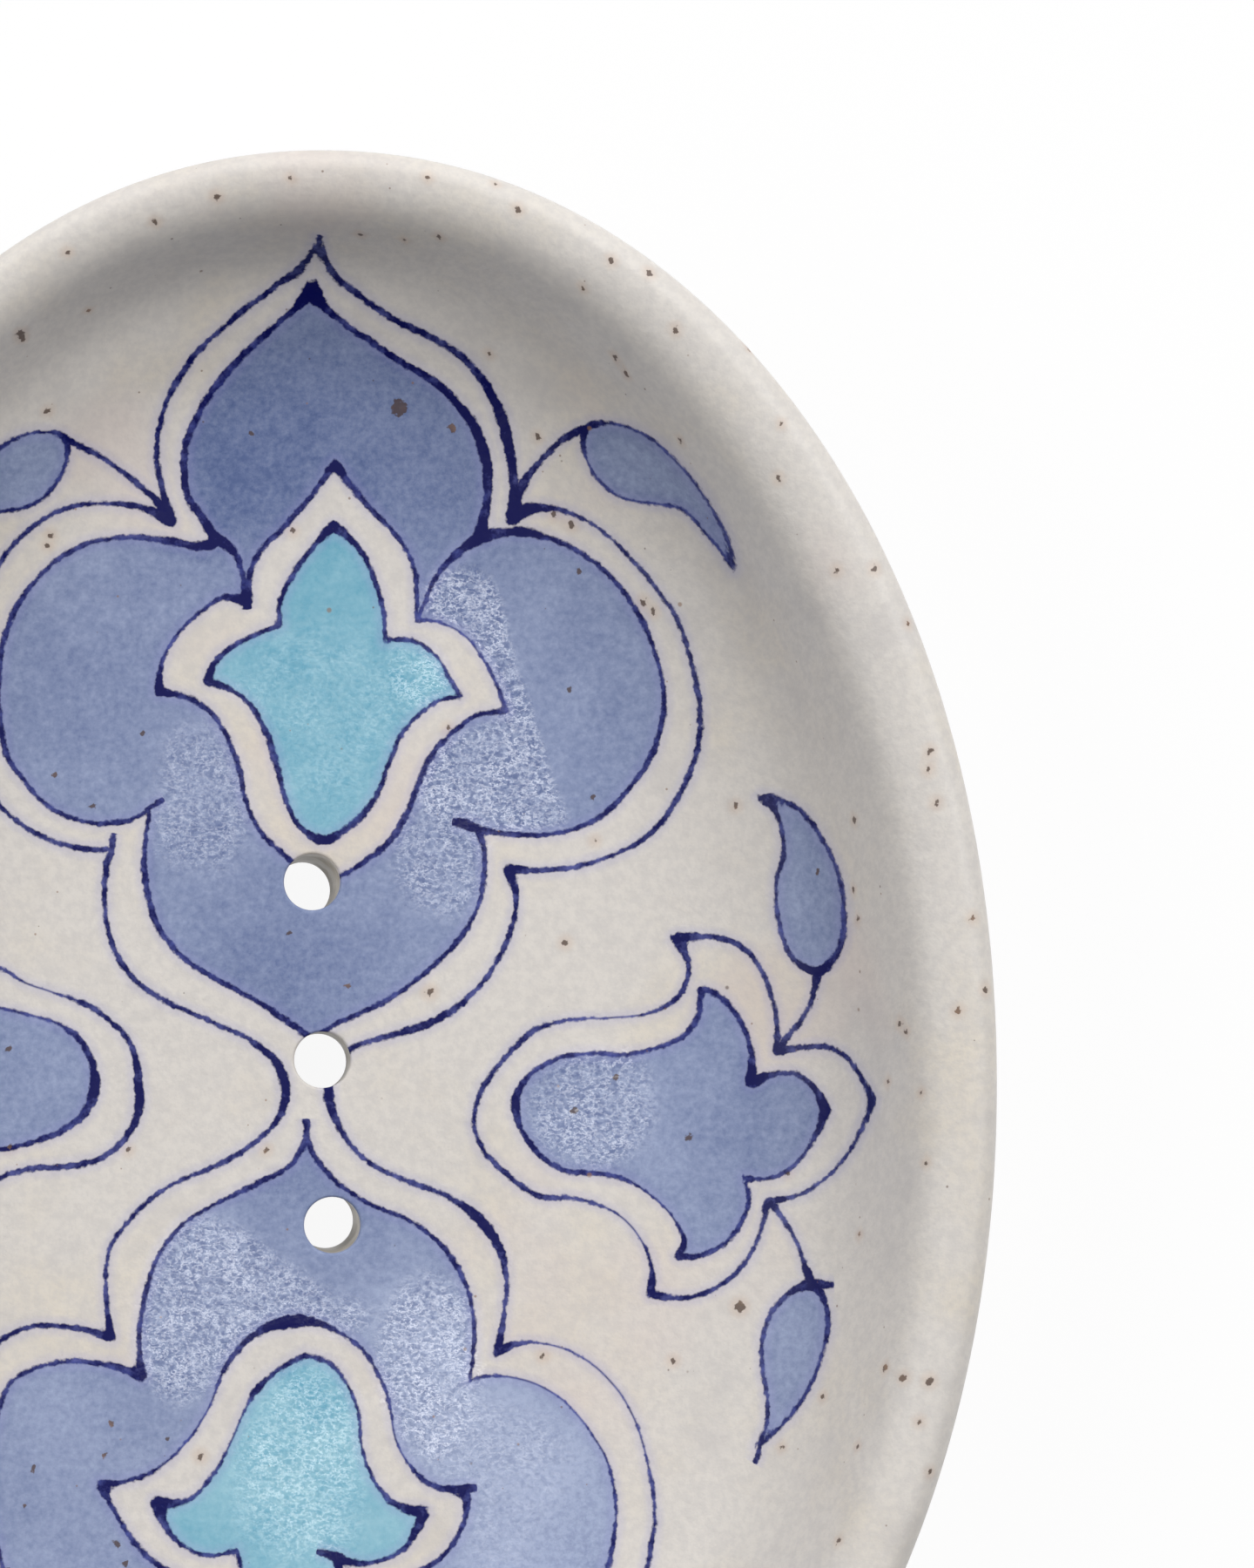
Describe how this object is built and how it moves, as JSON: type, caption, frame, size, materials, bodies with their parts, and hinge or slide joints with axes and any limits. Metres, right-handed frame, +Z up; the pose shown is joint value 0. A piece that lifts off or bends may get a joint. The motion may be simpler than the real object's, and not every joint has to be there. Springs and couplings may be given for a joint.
{
  "type": "soap dish",
  "caption": "Oval hand-painted stoneware soap dish with a rolled rim, a coved well, drain holes along its middle and stub feet that let it drain.",
  "frame": {"origin": "on the surface that the feet stand on, under the middle of the dish", "axes": "+Y along the dish, up in the picture; +X across it, to the right in the picture; +Z up"},
  "size_m": [0.1012, 0.14, 0.025],
  "materials": {
    "painted_glaze": "gloss",
    "foot_clay": "matte"
  },
  "bodies": {
    "root": {"dish_body": "painted_glaze", "foot_front_left": "foot_clay", "foot_front_right": "foot_clay", "foot_back_left": "foot_clay", "foot_back_right": "foot_clay"}
  },
  "joints": []
}
